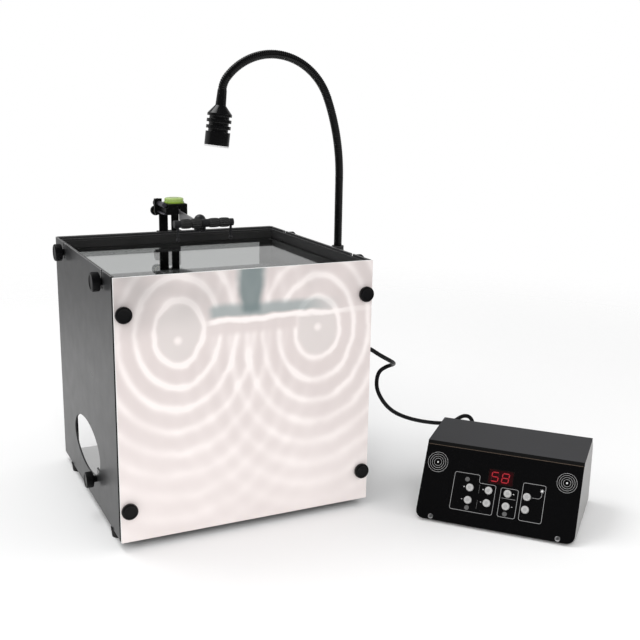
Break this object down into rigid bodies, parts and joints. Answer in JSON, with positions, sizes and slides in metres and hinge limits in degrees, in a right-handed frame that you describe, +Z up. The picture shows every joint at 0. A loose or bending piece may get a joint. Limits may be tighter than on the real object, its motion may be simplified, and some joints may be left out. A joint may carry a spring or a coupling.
{
  "type": "ripple tank",
  "caption": "Ripple tank: a glass tray on a dark mirror case with a front screen, wave generator on a post, gooseneck lamp and a sloped control console on a cord",
  "frame": {"origin": "on the table, under the middle of the box around the tank and its console without the cord", "axes": "+X to the right seen from the screen side, +Y away from the screen towards the back, +Z up"},
  "size_m": [0.5726, 0.506, 0.5345],
  "materials": {
    "case_paint": "satin dark grey powder coat",
    "light_paint": "light grey paint",
    "screen_acrylic": "translucent frosted acrylic",
    "mirror_glass": "front-silvered mirror glass",
    "tray_glass": "clear float glass",
    "rubber_feet": "black rubber",
    "screws": "zinc-plated steel",
    "foam": "dark foam strip",
    "knob_black": "black moulded knob",
    "level_vial": "clear vial with yellow-green liquid",
    "arm_metal": "plain aluminium strip",
    "black_plastic": "black plastic",
    "coil_copper": "wound copper coil",
    "collar_rubber": "knurled black collars",
    "neck_metal": "black ribbed metal hose",
    "lamp_black": "black anodised finned head",
    "lamp_bezel": "bright bezel",
    "lamp_lens": "frosted lens",
    "case_grey": "light grey case",
    "cover_dark": "matte dark grey cover",
    "panel_gloss": "glossy black panel",
    "board_green": "green circuit board",
    "display_red": "dark red numeric display",
    "led_lens": "small lens",
    "button_light": "light round button",
    "cord_sheath": "flexible cord sheath"
  },
  "bodies": {
    "housing": {"side_panel_left": "case_paint", "side_panel_right": "case_paint", "base_panel": "light_paint", "rear_panel": "case_paint", "rear_rail": "case_paint", "screen": "screen_acrylic", "mirror": "mirror_glass", "mirror_bed": "light_paint", "tank_feet": "rubber_feet", "case_screws": "screws", "post_guide": "case_paint", "neck_bracket": "case_paint", "cord_gland": "black_plastic", "link_cord": "cord_sheath", "cord_plug": "black_plastic", "console_case": "case_grey", "console_top": "cover_dark", "front_panel": "panel_gloss", "circuit_board": "board_green", "display": "display_red", "indicator_leds": "led_lens", "console_feet": "rubber_feet"},
    "tray": {"tray_frame": "case_paint", "tray_glass": "tray_glass", "beach_strips": "foam"},
    "generator": {"post": "case_paint", "generator_head": "case_paint", "bubble_level": "level_vial"},
    "arm": {"drive_arm": "arm_metal", "vibrator_case": "black_plastic", "vibrator_coil": "coil_copper"},
    "dipper": {"dipper_bar": "black_plastic", "dipper_collars": "collar_rubber", "dippers": "black_plastic"},
    "neck_lower": {"neck_lower": "neck_metal"},
    "neck_middle": {"neck_middle": "neck_metal"},
    "neck_upper": {"neck_upper": "neck_metal"},
    "lamp": {"lamp_head": "lamp_black", "lamp_bezel": "lamp_bezel", "lamp_lens": "lamp_lens"},
    "screen_knob_upper_left": {"screen_knob_upper_left": "knob_black"},
    "screen_knob_upper_right": {"screen_knob_upper_right": "knob_black"},
    "screen_knob_lower_left": {"screen_knob_lower_left": "knob_black"},
    "screen_knob_lower_right": {"screen_knob_lower_right": "knob_black"},
    "base_knob": {"base_knob": "knob_black"},
    "post_knob": {"post_knob": "knob_black"},
    "side_knob_left_front": {"side_knob_left_front": "knob_black"},
    "side_knob_left_rear": {"side_knob_left_rear": "knob_black"},
    "side_knob_right_front": {"side_knob_right_front": "knob_black"},
    "side_knob_right_rear": {"side_knob_right_rear": "knob_black"},
    "head_knob_upper": {"head_knob_upper": "knob_black"},
    "head_knob_lower": {"head_knob_lower": "knob_black"},
    "button_1": {"button_1": "button_light"},
    "button_2": {"button_2": "button_light"},
    "button_3": {"button_3": "button_light"},
    "button_4": {"button_4": "button_light"},
    "button_5": {"button_5": "button_light"},
    "button_6": {"button_6": "button_light"},
    "button_7": {"button_7": "button_light"},
    "button_8": {"button_8": "button_light"}
  },
  "joints": [
    {"name": "screen_knob_upper_left_turn", "type": "hinge", "parent": "housing", "child": "screen_knob_upper_left", "pos_m": [-0.26391, -0.06372, 0.2635], "axis": [0, -1, 0], "continuous": true},
    {"name": "screen_knob_upper_right_turn", "type": "hinge", "parent": "housing", "child": "screen_knob_upper_right", "pos_m": [0.01809, -0.06372, 0.2635], "axis": [0, -1, 0], "continuous": true},
    {"name": "screen_knob_lower_left_turn", "type": "hinge", "parent": "housing", "child": "screen_knob_lower_left", "pos_m": [-0.26391, -0.06372, 0.047], "axis": [0, -1, 0], "continuous": true},
    {"name": "screen_knob_lower_right_turn", "type": "hinge", "parent": "housing", "child": "screen_knob_lower_right", "pos_m": [0.01809, -0.06372, 0.047], "axis": [0, -1, 0], "continuous": true},
    {"name": "base_knob_turn", "type": "hinge", "parent": "housing", "child": "base_knob", "pos_m": [-0.28191, 0.05128, 0.042], "axis": [-1, 0, 0], "continuous": true},
    {"name": "post_knob_turn", "type": "hinge", "parent": "housing", "child": "post_knob", "pos_m": [-0.13791, 0.23578, 0.2671], "axis": [-1, 0, 0], "continuous": true},
    {"name": "tray_level", "type": "slide", "parent": "housing", "child": "tray", "axis": [0, 0, 1], "range_m": [-0.005, 0.003]},
    {"name": "side_knob_left_front_turn", "type": "hinge", "parent": "tray", "child": "side_knob_left_front", "pos_m": [-0.28041, -0.01212, 0.29], "axis": [-1, 0, 0], "continuous": true},
    {"name": "side_knob_left_rear_turn", "type": "hinge", "parent": "tray", "child": "side_knob_left_rear", "pos_m": [-0.28041, 0.18428, 0.29], "axis": [-1, 0, 0], "continuous": true},
    {"name": "side_knob_right_front_turn", "type": "hinge", "parent": "tray", "child": "side_knob_right_front", "pos_m": [0.03459, -0.01212, 0.29], "axis": [1, 0, 0], "continuous": true},
    {"name": "side_knob_right_rear_turn", "type": "hinge", "parent": "tray", "child": "side_knob_right_rear", "pos_m": [0.03459, 0.18428, 0.29], "axis": [1, 0, 0], "continuous": true},
    {"name": "post_slide", "type": "slide", "parent": "housing", "child": "generator", "axis": [0, 0, 1], "range_m": [-0.018, 0]},
    {"name": "head_knob_upper_turn", "type": "hinge", "parent": "generator", "child": "head_knob_upper", "pos_m": [-0.13491, 0.24228, 0.3395], "axis": [0, 1, 0], "continuous": true},
    {"name": "head_knob_lower_turn", "type": "hinge", "parent": "generator", "child": "head_knob_lower", "pos_m": [-0.13601, 0.24228, 0.3285], "axis": [0, 1, 0], "continuous": true},
    {"name": "arm_vibration", "type": "hinge", "parent": "generator", "child": "arm", "pos_m": [-0.11591, 0.21378, 0.331], "axis": [1, 0, 0], "range_deg": [-1, 1], "stiffness_Nm_per_rad": 8},
    {"name": "dipper_tilt", "type": "hinge", "parent": "arm", "child": "dipper", "pos_m": [-0.11651, 0.10628, 0.3293], "axis": [1, 0, 0], "range_deg": [-30, 30]},
    {"name": "neck_base_bend", "type": "hinge", "parent": "housing", "child": "neck_lower", "pos_m": [0.03959, 0.05278, 0.303], "axis": [0, -1, 0], "range_deg": [-15, 15]},
    {"name": "neck_lower_bend", "type": "hinge", "parent": "neck_lower", "child": "neck_middle", "pos_m": [0.03959, 0.05278, 0.3855], "axis": [0, -1, 0], "range_deg": [-20, 20]},
    {"name": "neck_upper_bend", "type": "hinge", "parent": "neck_middle", "child": "neck_upper", "pos_m": [0.02141, 0.05278, 0.48084], "axis": [0, -1, 0], "range_deg": [-20, 20]},
    {"name": "lamp_tilt", "type": "hinge", "parent": "neck_upper", "child": "lamp", "pos_m": [-0.10566, 0.05278, 0.50381], "axis": [0, -1, 0], "range_deg": [-30, 30]},
    {"name": "button_1_press", "type": "slide", "parent": "housing", "child": "button_1", "axis": [-0.6277, -0.5708, 0.5293], "range_m": [-0.001, 0], "stiffness_N_per_m": 200, "springref_m": 0.0003},
    {"name": "button_2_press", "type": "slide", "parent": "housing", "child": "button_2", "axis": [-0.6277, -0.5708, 0.5293], "range_m": [-0.001, 0], "stiffness_N_per_m": 200, "springref_m": 0.0003},
    {"name": "button_3_press", "type": "slide", "parent": "housing", "child": "button_3", "axis": [-0.6277, -0.5708, 0.5293], "range_m": [-0.001, 0], "stiffness_N_per_m": 200, "springref_m": 0.0003},
    {"name": "button_4_press", "type": "slide", "parent": "housing", "child": "button_4", "axis": [-0.6277, -0.5708, 0.5293], "range_m": [-0.001, 0], "stiffness_N_per_m": 200, "springref_m": 0.0003},
    {"name": "button_5_press", "type": "slide", "parent": "housing", "child": "button_5", "axis": [-0.6277, -0.5708, 0.5293], "range_m": [-0.001, 0], "stiffness_N_per_m": 200, "springref_m": 0.0003},
    {"name": "button_6_press", "type": "slide", "parent": "housing", "child": "button_6", "axis": [-0.6277, -0.5708, 0.5293], "range_m": [-0.001, 0], "stiffness_N_per_m": 200, "springref_m": 0.0003},
    {"name": "button_7_press", "type": "slide", "parent": "housing", "child": "button_7", "axis": [-0.6277, -0.5708, 0.5293], "range_m": [-0.001, 0], "stiffness_N_per_m": 200, "springref_m": 0.0003},
    {"name": "button_8_press", "type": "slide", "parent": "housing", "child": "button_8", "axis": [-0.6277, -0.5708, 0.5293], "range_m": [-0.001, 0], "stiffness_N_per_m": 200, "springref_m": 0.0003}
  ]
}
